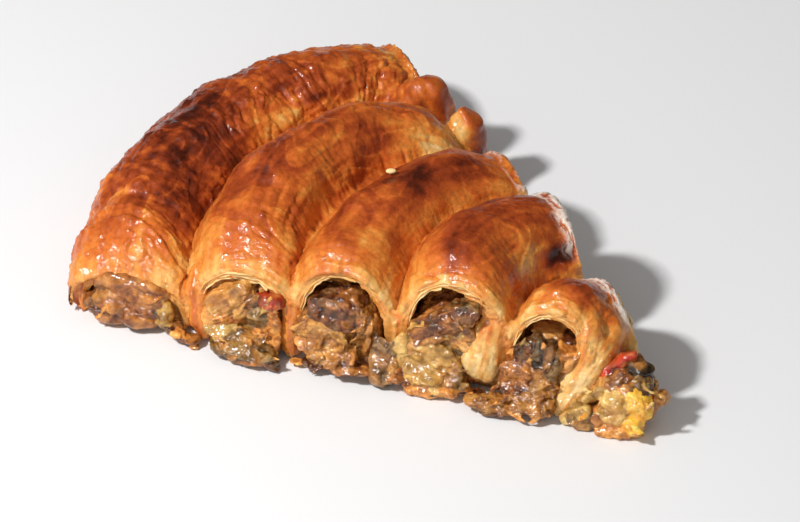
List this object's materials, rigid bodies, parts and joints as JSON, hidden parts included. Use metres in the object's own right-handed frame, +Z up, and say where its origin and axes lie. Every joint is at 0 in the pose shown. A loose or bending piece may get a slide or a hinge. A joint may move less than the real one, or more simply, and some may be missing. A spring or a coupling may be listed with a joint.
{
  "type": "borek slice",
  "caption": "Wedge cut from a coiled borek: glossy browned rolls of thin pastry side by side, open at the cuts to a chunky aubergine, pepper and meat filling.",
  "frame": {"origin": "middle of the bounding box, on the surface the slice lies on", "axes": "+X along the front cut towards the coil's centre, +Y from the front cut into the slice, +Z up"},
  "size_m": [0.2046, 0.1518, 0.0487],
  "materials": {
    "crust": "glossy egg-washed browned pastry",
    "filling": "moist cooked vegetables and meat"
  },
  "bodies": {
    "root": {"pastry": "crust", "filling_1": "filling", "filling_2": "filling", "filling_3": "filling", "filling_4": "filling", "filling_5": "filling", "filling_tip": "filling"}
  },
  "joints": []
}
